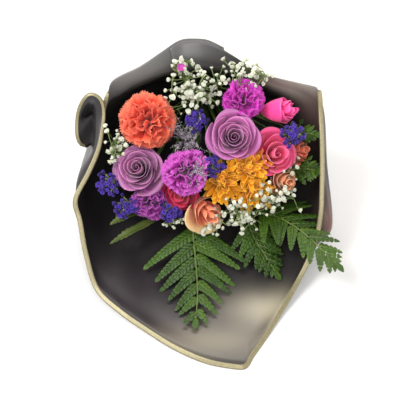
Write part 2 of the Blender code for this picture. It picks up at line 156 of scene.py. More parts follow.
def lights():
    world = bpy.data.worlds.new("studio")
    world.use_nodes = True
    sky = world.node_tree.nodes["Background"]
    sky.inputs["Color"].default_value = (1.0, 0.98, 0.96, 1)
    sky.inputs["Strength"].default_value = 0.62
    SCENE.world = world
    for name, place, size, power, tint in LAMPS:
        lamp = bpy.data.lights.new(name, "AREA")
        lamp.shape = "RECTANGLE"
        lamp.size, lamp.size_y = size
        lamp.energy = power
        lamp.color = tint
        made = new_object(name, lamp)
        made.location = Vector(LOOK_AT) + Vector(place)
        made.rotation_euler = (-Vector(place)).to_track_quat("-Z", "Y").to_euler()
    SCENE.view_settings.view_transform = "Standard"


FLOOR_HALF = 12.0
FLOOR_DROP = 0.0006  # keeps the floor clear of the film that lies on it


def floor():
    mesh = bpy.data.meshes.new("floor")
    corners = [(x * FLOOR_HALF, y * FLOOR_HALF, -FLOOR_DROP) for x, y in ((-1, -1), (1, -1), (1, 1), (-1, 1))]
    mesh.from_pydata(corners, [], [(0, 1, 2, 3)])
    made = new_object("floor", mesh)
    mesh.materials.append(floor_paint())


# ---------------------------------------------------------------- materials


class Shader:
    """A Principled material and the nodes that shape it. Its methods hand on output sockets."""

    def __init__(self, name, **values):
        self.material = bpy.data.materials.new(name)
        self.material.use_nodes = True
        self.tree = self.material.node_tree
        self.base = self.tree.nodes["Principled BSDF"]
        for key, value in values.items():
            self.base.inputs[key.replace("_", " ")].default_value = value

    def node(self, kind, output, inputs, **settings):
        """Adds a node whose inputs are linked to a socket or set to a value."""
        made = self.tree.nodes.new("ShaderNode" + kind)
        for key, value in settings.items():
            setattr(made, key, value)
        for key, value in inputs.items():
            if isinstance(value, bpy.types.NodeSocket):
                self.tree.links.new(value, made.inputs[key])
            else:
                made.inputs[key].default_value = value
        return made.outputs[output]

    def attribute(self, name, output):
        return self.node("Attribute", output, {}, attribute_name=name)

    def ramp(self, stops, value):
        """The colours that a value reads off between its stops."""
        made = self.tree.nodes.new("ShaderNodeValToRGB")
        cells = made.color_ramp.elements
        while len(cells) < len(stops):
            cells.new(0.5)
        for cell, (place, colour) in zip(cells, stops):
            cell.position = place
            cell.color = (*colour, 1)
        self.tree.links.new(value, made.inputs["Fac"])
        return made.outputs["Color"]

    def remap(self, value, span, to):
        """A value's span carried over to another span."""
        limits = dict(zip(("From Min", "From Max", "To Min", "To Max"), (*span, *to)))
        return self.node("MapRange", "Result", {"Value": value, **limits})

    def noise(self, scale, detail, rough, stretch=(1, 1, 1), where=None):
        """Noise in the object's own coordinates, or in others that are given."""
        where = where or self.node("TexCoord", "Object", {})
        place = self.node("VectorMath", "Vector", {0: where, 1: stretch}, operation="MULTIPLY")
        return self.node("TexNoise", "Fac", {"Scale": scale, "Detail": detail, "Roughness": rough, "Vector": place})

    def weigh(self, first, weight, second, second_weight):
        """The sum of two values, each times its weight."""
        scaled = self.node("Math", "Value", {0: second, 1: second_weight}, operation="MULTIPLY")
        return self.node("Math", "Value", {0: first, 1: weight, 2: scaled}, operation="MULTIPLY_ADD")

    def mix(self, blend, factor, first, second):
        inputs = {"Factor": factor, "A": first, "B": second}
        return self.node("Mix", "Result", inputs, data_type="RGBA", blend_type=blend)

    def drive(self, source, socket):
        self.tree.links.new(source, self.base.inputs[socket])

    def bump(self, height, strength, distance):
        inputs = {"Height": height, "Strength": strength, "Distance": distance}
        self.drive(self.node("Bump", "Normal", inputs), "Normal")

    def paint(self, colour):
        self.drive(colour, "Base Color")
        return self.material


def floor_paint():
    shader = Shader("floor_paint", Base_Color=(0.86, 0.86, 0.86, 1), Roughness=0.7)
    shader.bump(shader.noise(60.0, 3.0, 0.5), 0.02, 0.0002)
    return shader.material


def film_black(name, sheen_name):
    """Satin black wrapping film, faintly mottled where it has been handled, with a painted sheen: highlights and
    reflections of the lamps added to its colour from a per-point attribute.
    """
    shader = Shader(name, Specular_IOR_Level=0.7)
    tint = shader.ramp([(0.3, (0.016, 0.014, 0.017)), (0.7, (0.030, 0.027, 0.027))], shader.noise(9.0, 4.0, 0.55))
    shader.drive(shader.remap(shader.noise(35.0, 5.0, 0.6), (0, 1), (0.26, 0.42)), "Roughness")
    shader.bump(shader.noise(14.0, 2.0, 0.4, (1, 1, 0.6)), 0.25, 0.002)
    # adds the painted sheen: highlights and reflections laid into the film's colour point by point
    return shader.paint(shader.mix("ADD", 1.0, tint, shader.attribute(sheen_name, "Color")))


def film_gold():
    """The printed gold border: a pale metallic ink with a fine grain."""
    shader = Shader("film_gold", Metallic=0.45, Roughness=0.42)
    fleck = shader.noise(700.0, 2.0, 0.5)
    shader.bump(fleck, 0.15, 0.0002)
    return shader.paint(shader.ramp([(0.3, (0.225, 0.195, 0.105)), (0.7, (0.345, 0.305, 0.18))], fleck))


# ---------------------------------------------------------------- the wrap

PAINTED_SHEEN = "painted_sheen"  # per point of the film: painted sheen, the highlights and reflections its satin side shows, laid into its colour
PAINTED_SHEEN_OUTSIDE = "painted_sheen_outside"  # the same for the side that faces away from the flowers
FILM_MM = 0.35  # thickness
BORDER_MM = 5.8
LOOP_BORDER = 0.68  # how much narrower the border looks where the film loops over at the left
SEAM_LAP = 0.035  # how far each seam edge passes the top, in turns
SEAM_STEP_MM = 3.2  # between the upper and the lower seam edge
WAIST_RADIUS_MM = 21.9
AROUND = 380  # columns of the sheet
ALONG = 108  # rows of its body
RING_POINTS = 12


def ring(ahead_mm, radius_mm, flat=1.0):
    """A loop square to the bundle: turns, then points in millimetres."""
    loop = []
    for k in range(RING_POINTS):
        a = FULL_TURN * k / RING_POINTS
        side = -math.sin(a) * radius_mm * ACROSS
        up = math.cos(a) * radius_mm * flat * UPWARD
        loop.append((k / RING_POINTS, *(WAIST * 1000 + AXIS * ahead_mm + side + up)))
    return loop


def evenly(points):
    return [(k / len(points), *p) for k, p in enumerate(points)]


NECK = evenly((
    (0, 208, 136), (-46, 208, 126), (-78, 208, 98), (-90, 205, 62), (-78, 196, 30), (-44, 190, 6),
    (0, 186, 0), (44, 190, 6), (78, 196, 30), (90, 205, 62), (78, 208, 98), (46, 208, 126),
))
SHOULDER = evenly((
    (0, 160, 174), (-76, 156, 154), (-128, 140, 114), (-146, 114, 72), (-128, 82, 22), (-70, 58, 0),
    (14, 42, 0), (78, 58, 0), (132, 86, 22), (152, 114, 72), (137, 142, 116), (78, 156, 156),
))
# Turns run from the seam over the top, to the left, under, and up the right side.
LIP = (
    (0.000, 0, 156, 192), (0.083, -76, 138, 173), (0.130, -112, 126, 152), (0.165, -142, 108, 140),
    (0.195, -134, 108, 150), (0.225, -134, 76, 118), (0.258, -151, 56, 92), (0.333, -140, 16, 32),
    (0.417, -84, -36, 2), (0.500, 30, -74, 0), (0.583, 96, -34, 3), (0.650, 145, -6, 30),
    (0.700, 164, 0, 53), (0.750, 160, 50, 94), (0.833, 150, 122, 148), (0.917, 80, 142, 175),
)
EDGE = (
    (0.000, -6, 168, 215), (0.020, -25, 166, 214), (0.048, -49, 149, 207), (0.083, -74, 135, 197),
    (0.114, -113, 122, 179), (0.130, -124, 110, 146), (0.142, -140, 88, 114), (0.152, -149, 80, 126),
    (0.166, -150, 94, 147), (0.178, -144, 101, 165), (0.188, -134, 105, 175), (0.198, -123, 101, 171),
    (0.208, -120, 92, 156), (0.222, -126, 65, 129), (0.236, -138, 43, 109), (0.258, -155, 16, 86),
    (0.283, -150, -2, 64), (0.315, -142, -34, 39), (0.350, -127, -70, 15), (0.385, -96, -98, 5),
    (0.420, -59, -126, 2), (0.452, -29, -147, 1), (0.487, 8, -165, 0), (0.508, 40, -172, 0),
    (0.516, 53, -171, 0), (0.526, 62, -156, 0), (0.550, 80, -128, 1), (0.580, 102, -92, 5),
    (0.605, 122, -60, 16), (0.630, 136, -38, 32), (0.655, 147, -16, 55), (0.675, 151, 0, 76),
    (0.700, 152, 14, 92), (0.745, 153, 55, 131), (0.785, 152, 94, 162), (0.815, 152, 122, 171),
    (0.826, 147, 127, 173), (0.850, 125, 131, 177), (0.880, 100, 134, 182), (0.917, 72, 138, 189),
    (0.950, 44, 152, 202), (0.982, 12, 165, 214),
)
# The loops from the skirt behind the waist to the free edge.
RUNGS = (
    ring(-46, 29), ring(-14, WAIST_RADIUS_MM + 1.2), ring(0, WAIST_RADIUS_MM - 0.6),
    ring(12, WAIST_RADIUS_MM + 1.8), ring(40, 41.5, 0.86), NECK, SHOULDER, LIP, EDGE,
)
TABLE = 1440  # even turns that each loop is read at


def closed_curve(knots):
    """The loop read at TABLE even turns, smooth through knots at uneven turns."""
    knots = np.asarray(knots, float)
    turns = np.concatenate([knots[-2:, 0] - 1, knots[:, 0], knots[:3, 0] + 1])
    points = np.concatenate([knots[-2:, 1:], knots[:, 1:], knots[:3, 1:]])
    slopes = (points[2:] - points[:-2]) / (turns[2:] - turns[:-2])[:, None]
    turns, points = turns[1:-1], points[1:-1]
    t = np.arange(TABLE) / TABLE
    k = np.clip(np.searchsorted(turns, t, side="right") - 1, 0, len(turns) - 2)
    h = (turns[k + 1] - turns[k])[:, None]
    f = ((t - turns[k])[:, None]) / h
    return (
        (2 * f**3 - 3 * f**2 + 1) * points[k]
        + (f**3 - 2 * f**2 + f) * h * slopes[k]
        + (3 * f**2 - 2 * f**3) * points[k + 1]
        + (f**3 - f**2) * h * slopes[k + 1]
    )


LADDER = np.stack([closed_curve(loop) for loop in RUNGS]) / 1000
CENTRES = LADDER.mean(axis=1)


# Pleats gathered by the waist: where they are deepest, how far they reach, their depth.
PLEATS = ((0.50, 0.16, 0.0022), (0.22, 0.2, 0.0008))


def up_the_ladder(rungs, v):
    """A smooth way through each column's rungs, v from 0 at the skirt to 1 at the free edge."""
    last = len(rungs) - 1
    x = np.clip(v, 0, 1) * last
    k = np.minimum(x.astype(int), last - 1)
    column = np.arange(len(k))
    return catmull_rom([rungs[np.clip(k + n, 0, last), column] for n in (-1, 0, 1, 2)], (x - k)[:, None])


def film_point(u, v):
    """Points of the sheet: u in turns from one seam edge to the other, v from skirt to free edge."""
    spot = (u % 1.0) * TABLE
    low = spot.astype(int) % TABLE
    part = (spot - np.floor(spot))[None, :, None]
    rungs = LADDER[:, low] * (1 - part) + LADDER[:, (low + 1) % TABLE] * part
    point = up_the_ladder(rungs, v)
    centre = up_the_ladder(np.repeat(CENTRES[:, None, :], len(u), axis=1), v)
    out = unit(point - centre)
    share = (u + SEAM_LAP) / (1 + 2 * SEAM_LAP)
    shift = SEAM_STEP_MM / 1000 * (0.5 - share)
    pleat = sum(np.exp(-(((v - place) / reach) ** 2)) * depth for place, reach, depth in PLEATS)
    turn = FULL_TURN * u
    wave = np.sin(17 * turn + 1.3 * np.sin(2 * turn)) + 0.6 * np.sin(29 * turn + 2.0 + np.sin(3 * turn))
    point = point + out * (shift + pleat * wave)[:, None]
    point[:, 2] = np.maximum(point[:, 2], 0.0)
    return point


LOOK_ALONG = np.array([0.0, math.cos(LOOK_DOWN), -math.sin(LOOK_DOWN)])
BLEND = 0.09  # the part of v over which the film eases into its border
ROLL_MM = 11.0  # how far the edge rolls over behind the top before its border begins
ROLL_FROM = 0.6  # the share of the easing part after which the roll begins
ROLL_LEFT = (0.124, 0.014)  # the turn where the roll ends, and how fast
ROLL_RIGHT = (0.817, 0.010)
LOOP_AT, LOOP_REACH = 0.178, 0.045  # the turns that the loop at the left takes up
EASE_ROWS = 8
BORDER_ROWS = 4
SKIRT_ROWS = 2  # the gold border at the skirt's end


def rolls_back(u):
    """1 where the free edge is rolled over backwards, along the two slopes of the top."""
    left = np.clip((ROLL_LEFT[0] - u) / ROLL_LEFT[1], 0, 1)
    right = np.clip((u - ROLL_RIGHT[0]) / ROLL_RIGHT[1], 0, 1)
    return (left + right - left * right)[:, None]


def film_rows():
    """Every row of the sheet: the body, an easing part, and a border that keeps its width."""
    u = np.linspace(-SEAM_LAP, 1 + SEAM_LAP, AROUND + 1)
    free = film_point(u, np.ones_like(u))
    inner = film_point(u, np.full_like(u, 1 - BLEND))
    flat_in = unit(np.cross(np.gradient(free, axis=0), LOOK_ALONG))
    if np.mean(np.sum(flat_in * (inner - free), axis=1)) < 0:
        flat_in = -flat_in
    tilt_in = unit(0.8 * flat_in + 0.2 * unit(inner - free))
    loop = np.exp(-(((u - LOOP_AT) / LOOP_REACH) ** 4))[:, None]
    start = free + tilt_in * BORDER_MM / 1000 * (1 - (1 - LOOP_BORDER) * loop)
    wall = unit(inner - free)
    away = np.sum(wall * LOOK_ALONG, axis=1)
    steep = np.sum(wall * flat_in, axis=1) / np.maximum(away, 0.05)
    behind = unit(LOOK_ALONG + np.clip(0.4 * steep, 0.0, 0.35)[:, None] * flat_in)
    roll = rolls_back(np.clip(u, 0, 1))
    rows = [film_point(u, np.full_like(u, (1 - BLEND) * j / ALONG)) for j in range(ALONG + 1)]
    for j in range(1, EASE_ROWS + 1):
        f = j / EASE_ROWS
        ease = f * f * (3 - 2 * f)
        toward = film_point(u, np.full_like(u, 1 - BLEND * (1 - f)))
        eased = toward * (1 - ease) + (inner + (start - inner) * f) * ease
        over = max(0.0, f - ROLL_FROM) / (1 - ROLL_FROM)
        rolled = film_point(u, np.full_like(u, 1 - BLEND * (1 - min(1.0, f / ROLL_FROM))))
        rolled = rolled + behind * ROLL_MM / 1000 * over
        rows.append(eased * (1 - roll) + rolled * roll)
    for j in range(1, BORDER_ROWS + 1):
        f = j / BORDER_ROWS
        rolled = free + behind * (ROLL_MM + BORDER_MM * f) / 1000
        rows.append((start + (free - start) * f) * (1 - roll) + rolled * roll)
    return u, rows


# Where the painted sheen lies, highlights and reflections of the lamps laid into the film's colour: centre and reach in
# millimetres, then its colour.
SHEEN_SPOTS = (
    ((-78, 128, 190), (46, 50, 46), (0.270, 0.285, 0.280)),
    ((-62, 158, 160), (28, 26, 18), (0.230, 0.235, 0.215)),
    ((0, 165, 212), (50, 40, 28), (0.060, 0.058, 0.054)),
    ((94, 139, 166), (44, 30, 20), (0.520, 0.510, 0.430)),
    ((140, 125, 130), (30, 30, 40), (0.130, 0.075, 0.065)),
    ((150, 70, 100), (30, 90, 60), (0.040, 0.027, 0.022)),
    ((20, -60, 0), (60, 60, 20), (0.016, 0.016, 0.015)),
    ((14, -134, 0), (70, 24, 20), (0.150, 0.130, 0.085)),
    ((86, -86, 4), (46, 25, 22), (0.370, 0.335, 0.235)),
    ((-105, -45, 15), (12, 30, 24), (0.018, 0.018, 0.016)),
    ((163, 4, 52), (13, 40, 40), (0.130, 0.050, 0.032)),
)
# The painted sheen of the outer side: a painted reflection at the right and a faint painted highlight at the top.
SHEEN_SPOTS_OUTSIDE = (
    ((163, 4, 52), (13, 40, 40), (0.130, 0.050, 0.032)),
    ((0, 165, 212), (50, 40, 28), (0.030, 0.029, 0.027)),
)


def painted_sheen_at(points, sheen_spots):
    """The painted sheen's colour at each point."""
    total = np.zeros((len(points), 3))
    for centre, reach, colour in sheen_spots:
        away = (points * 1000 - centre) / reach
        total += np.exp(-np.sum(away**2, axis=1))[:, None] * colour
    return total


def quads(rows, columns):
    """The four-sided faces between points laid out in rows and columns."""
    starts = [r * columns + c for r in range(rows - 1) for c in range(columns - 1)]
    return [(a, a + 1, a + columns + 1, a + columns) for a in starts]


def wrap_sheet():
    u, rows = film_rows()
    points = np.concatenate(rows)
    points[:, 2] = np.maximum(points[:, 2], 0.0)
    faces = quads(len(rows), len(u))
    body_ends = len(rows) - 1 - BORDER_ROWS
    gold_row = [j < SKIRT_ROWS or j >= body_ends for j in range(len(rows) - 1)]
    slots = np.repeat(gold_row, len(u) - 1).astype(np.int32)
    gold = film_gold()
    looks = (film_black("film_outside", PAINTED_SHEEN_OUTSIDE), gold, film_black("film_inside", PAINTED_SHEEN), gold)
    made = new_surface("wrap_film", points + ORIGIN, faces, slots, looks)
    # lays the painted sheen into the colour of each side of the film
    for sheen_name, sheen_spots in ((PAINTED_SHEEN, SHEEN_SPOTS), (PAINTED_SHEEN_OUTSIDE, SHEEN_SPOTS_OUTSIDE)):
        sheen_layer = made.data.attributes.new(sheen_name, "FLOAT_COLOR", "POINT")
        shade = np.concatenate([painted_sheen_at(points, sheen_spots), np.ones((len(points), 1))], axis=1)
        sheen_layer.data.foreach_set("color", shade.astype(np.float32).ravel())
    wall = thicken(made, FILM_MM / 1000, -1.0)
    wall.material_offset = len(looks) // 2
    stands_for(made, "wrap_sheet")


# ---------------------------------------------------------------- petals

PETAL = "petal"  # per point: how far along, how far across, a chance value for the petal
# Nearly upright, and a little off, so that no stalk and no bloom points exactly that way.
ODD_WAY = (0.31, 0.17, 0.93)
STRAIGHT_UP = (0.13, 0.24, 0.96)


class Patchwork:
    """Gathers many small surfaces into one mesh, with the petal values at every point."""

    def __init__(self):
        self.points, self.faces, self.values, self.slots = [], [], [], []
        self.count = 0

    def add(self, points, faces, values, slot=0):
        self.points.append(points)
        self.faces += [tuple(v + self.count for v in face) for face in faces]
        self.values.append(values)
        self.slots += [slot] * len(faces)
        self.count += len(points)

    def grid(self, grid, along, across, chance, slot=0):
        """A sheet of points in rows and columns."""
        shape = grid.shape[:2]
        along, across = (share.reshape(share.shape[:2]) for share in (along, across))
        parts = [np.broadcast_to(along, shape), np.broadcast_to(across, shape), np.full(shape, chance)]
        self.add(grid.reshape(-1, 3), quads(*shape), np.stack(parts, axis=2).reshape(-1, 3), slot)

    def tube(self, points, radii, sides=6, chance=0.5, slot=0):
        """A round stalk along a line of points, closed at both ends."""
        points = np.asarray(points, float)
        along = unit(np.gradient(points, axis=0))
        side = unit(np.cross(along, ODD_WAY))
        up = np.cross(along, side)
        turn = np.arange(sides) / sides * FULL_TURN
        rings = points[:, None] + np.asarray(radii)[:, None, None] * (
            side[:, None] * np.cos(turn)[None, :, None] + up[:, None] * np.sin(turn)[None, :, None]
        )
        faces = []
        for k in range(len(points) - 1):
            for n in range(sides):
                m = (n + 1) % sides
                faces.append((k * sides + n, k * sides + m, (k + 1) * sides + m, (k + 1) * sides + n))
        last = (len(points) - 1) * sides
        faces.append(tuple(range(sides))[::-1])
        faces.append(tuple(range(last, last + sides)))
        share = np.repeat(np.linspace(0, 1, len(points)), sides)
        values = np.stack([share, np.tile(turn / FULL_TURN, len(points)), np.full(len(share), chance)], axis=1)
        self.add(rings.reshape(-1, 3), faces, values, slot)

    def rest_above(self, height):
        """Lifts every point that lies lower than height to that height."""
        for points in self.points:
            points[:, 2] = np.maximum(points[:, 2], height)

    def finish(self, name, materials, node, thick=0.0):
        """Makes the object and says which CAD node it stands for."""
        made = new_surface(name, np.concatenate(self.points), self.faces, self.slots, materials)
        values = made.data.attributes.new(PETAL, "FLOAT_VECTOR", "POINT")
        values.data.foreach_set("vector", np.concatenate(self.values).astype(np.float32).ravel())
        if thick:
            thicken(made, thick, 0.0)
        stands_for(made, node)


def axes_of(facing, roll=0.0):
    """Sideways, up and forward of a bloom that looks along facing."""
    front = unit(facing)
    right = unit(np.cross(front, STRAIGHT_UP))
    up = np.cross(right, front)
    c, s = math.cos(roll), math.sin(roll)
    return np.stack([right * c + up * s, up * c - right * s, front])


def petal_skin(name, deep, middle, edge, vein, edge_at=0.93, heart=None):
    """Soft petal tissue: darker at its foot, partly the bloom's own deeper colour and partly painted shade of the
    hollows where petals meet, paler at its rim, with fine veins along it.
    """
    shader = Shader(
        name, Roughness=0.55, Subsurface_Weight=0.12, Subsurface_Radius=(1.0, 0.5, 0.4), Subsurface_Scale=0.003,
        Sheen_Weight=0.25, Sheen_Roughness=0.5,
    )
    where = shader.attribute(PETAL, "Vector")
    along, chance = (shader.node("SeparateXYZ", axis, {"Vector": where}) for axis in "XZ")
    veins = shader.noise(1.6, 4.0, 0.6, (1.4, 22.0, 7.0), where)
    wander = shader.remap(veins, (0.3, 0.7), (-0.12, 0.12))
    place = shader.node("Math", "Value", {0: along, 1: wander}, operation="ADD")
    # the foot colour is partly painted shade, darkening the petals deep between their neighbours
    colour = shader.ramp([(0.10, deep), (0.55, middle), (edge_at, middle), (1.0, edge)], place)
    if heart:
        colour = shader.mix("MIX", shader.remap(chance, (0, 0.8), (0.75, 0.0)), colour, (*heart, 1))
    value = shader.remap(chance, (0, 1), (1 - vein, 1 + vein))
    tone = shader.node("HueSaturation", "Color", {"Color": colour, "Value": value})
    lines = shader.ramp([(0.35, (0.72, 0.66, 0.70)), (0.6, (1, 1, 1))], veins)
    shader.bump(veins, 0.3, 0.0006)
    return shader.paint(shader.mix("MULTIPLY", vein, tone, lines))


def leaf_skin(name, dark, light, rough):
    """Waxy leaf: dark and lighter in patches, with a broken sheen."""
    shader = Shader(name, Roughness=rough, Subsurface_Weight=0.05, Subsurface_Scale=0.002)
    where = shader.attribute(PETAL, "Vector")
    chance = shader.node("SeparateXYZ", "Z", {"Vector": where})
    shade = shader.weigh(shader.noise(55.0, 3.0, 0.6), 0.5, chance, 0.6)
    shader.bump(shader.noise(1.0, 3.0, 0.5, (26.0, 8.0, 0.0), where), 0.35, 0.0008)
    return shader.paint(shader.ramp([(0.15, dark), (0.85, light)], shade))


def net(rows, columns):
    """Shares along and across a petal: 0 to 1 from its foot, -1 to 1 from side to side."""
    return np.linspace(0, 1, rows)[:, None], np.linspace(-1, 1, columns)[None, :]


def round_and_up(reach, angle, rise):
    """Points at a reach and an angle round a bloom's middle line, and a rise along it."""
    return np.stack([reach * np.cos(angle), reach * np.sin(angle), rise * np.ones_like(angle)], axis=2)


GUARD_TURNS = (4.6, 5.8)  # where the peach rose's two straw-coloured outer petals stand


def rose(name, facing, radius, height, skin, seed, petals, openness, sway=0.0, pointed=1.0, guard_skin=None):
    """A spiral rose: a tight swirl in the middle, then broad petals whose rims roll back."""
    rng = random.Random(seed)
    centre = cad_middle(name)
    frame_axes = axes_of(facing)
    base = centre - unit(facing) * 0.5 * height
    work = Patchwork()
    t, s = net(14, 19)
    first = rng.uniform(0, ANY_PHASE)
    for k in range(petals):
        f = k / (petals - 1)
        outer = min(1.0, f * 2.5)
        turn = first + k * GOLDEN_ANGLE + rng.uniform(-0.25, 0.25)
        rim = radius * (0.05 + 0.93 * f**0.92 * (0.55 + 0.45 * openness)) * rng.uniform(0.93, 1.06)
        foot = radius * 0.15 * f
        tall = height * (0.88 + 0.12 * math.sin(math.pi * min(1, f * 2.0)) - 0.50 * openness * f**2.1)
        tall *= rng.uniform(0.95, 1.05)
        half = 1.9 - 0.85 * outer + 0.12 * rng.random()
        point = (0.10 + 0.10 * rng.random()) * pointed
        tt = t * (1 - point * np.abs(s) ** 2.2 * (0.3 + 0.7 * outer) - 0.05 * np.abs(s) ** 6)
        wide = 0.40 + 0.60 * np.sin(0.5 * math.pi * np.minimum(1, tt * 1.3))
        angle = turn + s * half * wide + rng.uniform(-0.12, 0.12) * t
        cup = np.sin(0.5 * math.pi * np.minimum(1, tt)) ** (0.80 - 0.25 * openness * f)
        reach = foot + (rim - foot) * cup
        reach = reach * (1 - 0.30 * max(0, 1 - f * 4) * tt**4)
        rise = tall * tt**1.2
        over = np.clip((tt - 0.62) / 0.38, 0, 1)
        curl = (0.2 + 0.8 * f) * openness * outer
        reach = reach + radius * 0.17 * curl * over**2 * (0.55 + 0.45 * np.cos(s * 2.6))
        rise = rise - height * 0.17 * curl * over**2.4 * (0.5 + 0.5 * np.cos(s * 2.0))
        reach = reach + radius * 0.05 * s * (0.2 + 0.8 * tt)
        wave = np.sin(s * (2.4 + 2 * rng.random()) + rng.uniform(0, ANY_PHASE)) * tt**2.5
        reach = reach + radius * 0.045 * f**0.5 * wave
        rise = rise + height * 0.035 * np.sin(s * 3.9 + rng.uniform(0, ANY_PHASE)) * tt**2.5
        reach = reach * (1 + sway * f * np.sin(angle))
        work.grid(base + round_and_up(reach, angle, rise) @ frame_axes, t, s, rng.random())
    for turn in GUARD_TURNS if guard_skin else ():
        tt = t * (1 - 0.18 * np.abs(s) ** 2.2)
        angle = turn + s * 0.95 * (0.5 + 0.5 * np.sin(0.5 * math.pi * tt))
        over = np.clip((tt - 0.55) / 0.45, 0, 1)
        reach = radius * (0.10 + 0.92 * np.sin(0.5 * math.pi * tt) ** 0.7 + 0.24 * over**2)
        rise = height * (0.80 * tt**1.2 - 0.22 * over**2) - height * 0.02
        work.grid(base + round_and_up(reach, angle, rise) @ frame_axes, t, s, rng.random(), 1)
    skins = [skin, guard_skin] if guard_skin else [skin]
    work.finish(name + "_petals", skins, name, thick=0.0003)


CARNATION_SPREAD = 1.95  # how far the outermost petal leans from the facing way, in radians


def carnation(name, facing, radius, height, skin, seed, petals):
    """Ruffled, toothed fans packed into a dome, each leaning its own way."""
    rng = random.Random(seed)
    centre = cad_middle(name)
    right, up, front = axes_of(facing)
    base = centre - front * 0.5 * height
    middle = centre - front * 0.06 * height
    work = Patchwork()
    t, s = (share[..., None] for share in net(9, 27))
    for k in range(petals):
        f = math.sqrt((k + 0.5) / petals)
        lean = f * CARNATION_SPREAD + rng.uniform(-0.16, 0.16)
        turn = k * GOLDEN_ANGLE + rng.uniform(-0.35, 0.35)
        out = right * math.cos(turn) + up * math.sin(turn)
        way = front * math.cos(lean) + out * math.sin(lean)
        reach = radius * (0.74 + 0.26 * math.sin(min(lean, 1.57))) * rng.uniform(0.80, 1.12)
        reach *= 1 - 0.12 * max(0.0, lean - 1.4)
        tip = middle + way * reach
        knee = base + front * height * 0.32 + out * radius * 0.18 * f
        mix = rng.uniform(-1, 1) * (0.6 if f > 0.75 else 1.5)
        around = unit(np.cross(front, out))
        edge_way = unit(around + mix * unit(np.cross(way, around)))
        normal = np.cross(way, edge_way)
        path = (1 - t) ** 2 * base + 2 * t * (1 - t) * knee + t**2 * tip
        half = radius * (0.40 + 0.16 * rng.random())
        half = half * np.sin(0.5 * math.pi * np.minimum(1, t * 1.05)) ** 1.15
        ruffle = radius * 0.115 * t**2 * np.sin(s * (5.5 + 3 * rng.random()) + rng.uniform(0, ANY_PHASE))
        ruffle = ruffle + radius * 0.045 * t**4 * np.sin(s * 15 + rng.uniform(0, ANY_PHASE))
        teeth = radius * 0.06 * t**6 * (np.abs(((s * 7 + rng.random()) % 1) - 0.5) * 4 - 1)
        drop = radius * 0.20 * s**2 * t
        bend = -normal * radius * rng.uniform(-0.12, 0.12) * t**3
        grid = path + edge_way * s * half + normal * ruffle + way * (teeth - drop) + bend
        work.grid(grid, t, s, min(1.0, 0.62 * f + 0.38 * rng.random()))
    work.finish(name + "_petals", [skin], name, thick=0.0004)


# A chrysanthemum's ranks: petal length, count, how far forward they start, how far they lean.
MUM_RANKS = ((1.0, 18, 0.04, 1.32), (0.90, 17, 0.14, 1.02), (0.74, 15, 0.22, 0.74), (0.52, 11, 0.28, 0.44))
MUM_TUFTS = 34


def mum(name, facing, radius, skins, seed):
    """A small double chrysanthemum: ranks of spoon petals round a tufted heart."""
    rng = random.Random(seed)
    centre = cad_middle(name)
    right, up, front = axes_of(facing)
    work = Patchwork()
    t, s = (share[..., None] for share in net(9, 5))
    for length, count, raised, lean in MUM_RANKS:
        for k in range(count):
            turn = (k + rng.uniform(-0.45, 0.45)) / count * FULL_TURN + raised * 9
            tilt = lean + rng.uniform(-0.24, 0.20)
            out = right * math.cos(turn) + up * math.sin(turn)
            flat_side = up * math.cos(turn) - right * math.sin(turn)
            way = front * math.cos(tilt) + out * math.sin(tilt)
            flat_lift = front * math.sin(tilt) - out * math.cos(tilt)
            spin = rng.uniform(-0.6, 0.6)
            side = flat_side * math.cos(spin) + flat_lift * math.sin(spin)
            lifted = flat_lift * math.cos(spin) - flat_side * math.sin(spin)
            long = radius * length * rng.uniform(0.82, 1.12)
            foot = centre - front * radius * 0.30 + front * radius * raised * 0.6
            path = foot + way * long * t + lifted * radius * rng.uniform(0.05, 0.36) * t**2.2
            half = radius * rng.uniform(0.125, 0.165)
            half = half * np.sin(math.pi * np.minimum(0.95, 0.08 + t * 0.88)) ** 0.6
            work.grid(path + side * s * half + lifted * s**2 * half * 0.85, t, s, rng.random())
    for k in range(MUM_TUFTS):
        f = math.sqrt((k + 0.5) / MUM_TUFTS)
        turn = k * GOLDEN_ANGLE
        out = (right * math.cos(turn) + up * math.sin(turn)) * f
        foot = centre + front * radius * 0.02 + out * radius * 0.10
        tip = centre + front * radius * (0.34 - 0.10 * f) + out * radius * 0.30
        widths = (radius * 0.03, radius * 0.045, radius * 0.02)
        work.tube([foot, (foot + tip) / 2, tip], widths, 5, rng.random(), 1)
    work.finish(name + "_petals", skins, name, thick=0.0004)


# ---------------------------------------------------------------- fillers


FLORET_NET = net(4, 4)


def cupped_petal(length, width, cup):
    """A small rounded petal along +Z that bows towards +X."""
    t, s = FLORET_NET
    half = width * np.sin(math.pi * np.minimum(0.9, 0.12 + 0.80 * t)) ** 0.6
    x = cup * length * (np.sin(t * 2.4) * 0.5) + 0.25 * width * s**2
    return np.stack([x * np.ones_like(s), half * s, length * t * np.ones_like(s)], axis=2)


def floret(petals, length, width, lean, cup, rng, ranks=1):
    """A little flower facing +Z: its petal grids, to be turned and placed."""
    grids = []
    for rank in range(ranks):
        for k in range(petals):
            turn = (k + 0.5 * rank + rng.uniform(-0.15, 0.15)) / petals * FULL_TURN
            tilt = lean * (1 - 0.45 * rank) + rng.uniform(-0.15, 0.15)
            grid = cupped_petal(length * (1 - 0.15 * rank), width, cup)
            c, s = math.cos(tilt), math.sin(tilt)
            x = grid[..., 0] * -c + grid[..., 2] * s
            z = grid[..., 0] * s + grid[..., 2] * c
            ct, st = math.cos(turn), math.sin(turn)
            grids.append(np.stack([x * ct - grid[..., 1] * st, x * st + grid[..., 1] * ct, z], axis=2))
    return grids


def put_floret(work, grids, place, facing, size, roll, chance, slot=0):
    floret_axes = axes_of(facing, roll) * size
    for grid in grids:
        work.grid(place + grid @ floret_axes, *FLORET_NET, chance, slot)


def jitter(rng, size):
    return np.array([rng.gauss(0, size), rng.gauss(0, size), rng.gauss(0, size)])


STALK_GAP = 0.003  # CAD points closer than this along the bundle belong to one ring of the stem
STALK_ENDS = 0.006  # how far short of the head the CAD run is left


